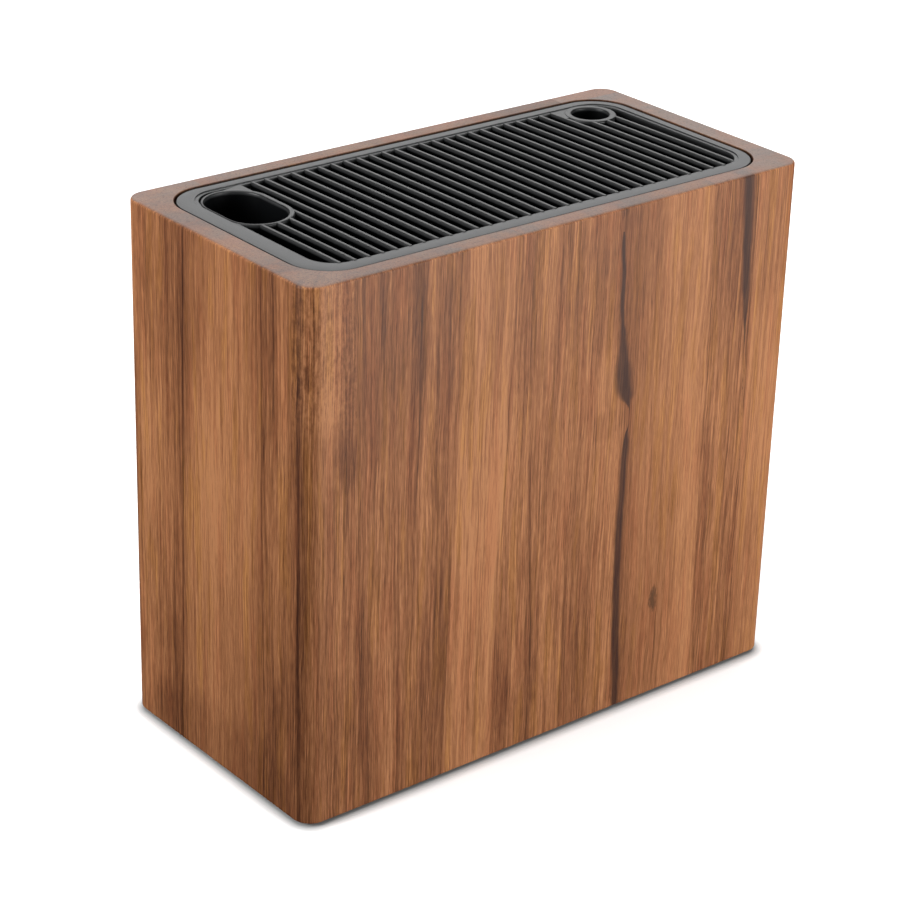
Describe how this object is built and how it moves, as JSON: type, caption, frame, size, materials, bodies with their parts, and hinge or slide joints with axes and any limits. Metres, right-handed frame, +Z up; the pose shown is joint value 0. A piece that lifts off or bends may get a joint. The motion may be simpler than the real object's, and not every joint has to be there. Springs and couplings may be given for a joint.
{
  "type": "knife block",
  "caption": "Upright box of glued hardwood staves with a lift-out plastic insert: parallel open slots for blades, an oval chute for scissors and a round chute for a sharpening steel.",
  "frame": {"origin": "centre of the footprint, on the surface that the feet stand on", "axes": "+X along the long side, from the scissors chute's end to the steel chute's end; +Z up; the long face without chutes behind it faces -Y, so the chutes are at the back, +Y"},
  "size_m": [0.247, 0.121, 0.225],
  "materials": {
    "acacia": "oiled hardwood staves, satin, in tones from honey to red-brown with dark mineral streaks",
    "insert_plastic": "satin black moulded plastic",
    "foot_rubber": "matt black"
  },
  "bodies": {
    "case": {"back_stave_1": "acacia", "back_stave_2": "acacia", "back_stave_3": "acacia", "back_stave_4": "acacia", "back_stave_5": "acacia", "back_stave_6": "acacia", "base_board": "acacia", "foot_back_left": "foot_rubber", "foot_back_right": "foot_rubber", "foot_front_left": "foot_rubber", "foot_front_right": "foot_rubber", "front_stave_1": "acacia", "front_stave_2": "acacia", "front_stave_3": "acacia", "front_stave_4": "acacia", "front_stave_5": "acacia", "front_stave_6": "acacia", "front_stave_7": "acacia", "left_stave_1": "acacia", "left_stave_2": "acacia", "left_stave_3": "acacia", "right_stave_1": "acacia", "right_stave_2": "acacia", "right_stave_3": "acacia"},
    "insert": {"insert_frame": "insert_plastic", "scissors_chute": "insert_plastic", "slot_plate_01": "insert_plastic", "slot_plate_02": "insert_plastic", "slot_plate_03": "insert_plastic", "slot_plate_04": "insert_plastic", "slot_plate_05": "insert_plastic", "slot_plate_06": "insert_plastic", "slot_plate_07": "insert_plastic", "slot_plate_08": "insert_plastic", "slot_plate_09": "insert_plastic", "slot_plate_10": "insert_plastic", "slot_plate_11": "insert_plastic", "slot_plate_12": "insert_plastic", "slot_plate_13": "insert_plastic", "slot_plate_14": "insert_plastic", "slot_plate_15": "insert_plastic", "slot_plate_16": "insert_plastic", "slot_plate_17": "insert_plastic", "slot_plate_18": "insert_plastic", "slot_plate_19": "insert_plastic", "slot_plate_20": "insert_plastic", "slot_plate_21": "insert_plastic", "slot_plate_22": "insert_plastic", "slot_plate_23": "insert_plastic", "slot_plate_24": "insert_plastic", "slot_plate_25": "insert_plastic", "slot_plate_26": "insert_plastic", "slot_plate_27": "insert_plastic", "slot_plate_28": "insert_plastic", "slot_plate_29": "insert_plastic", "slot_plate_30": "insert_plastic", "slot_plate_31": "insert_plastic", "slot_plate_32": "insert_plastic", "steel_chute": "insert_plastic"}
  },
  "joints": [
    {"name": "insert_lift", "type": "slide", "parent": "case", "child": "insert", "axis": [0, 0, 1], "range_m": [0, 0.16]}
  ]
}
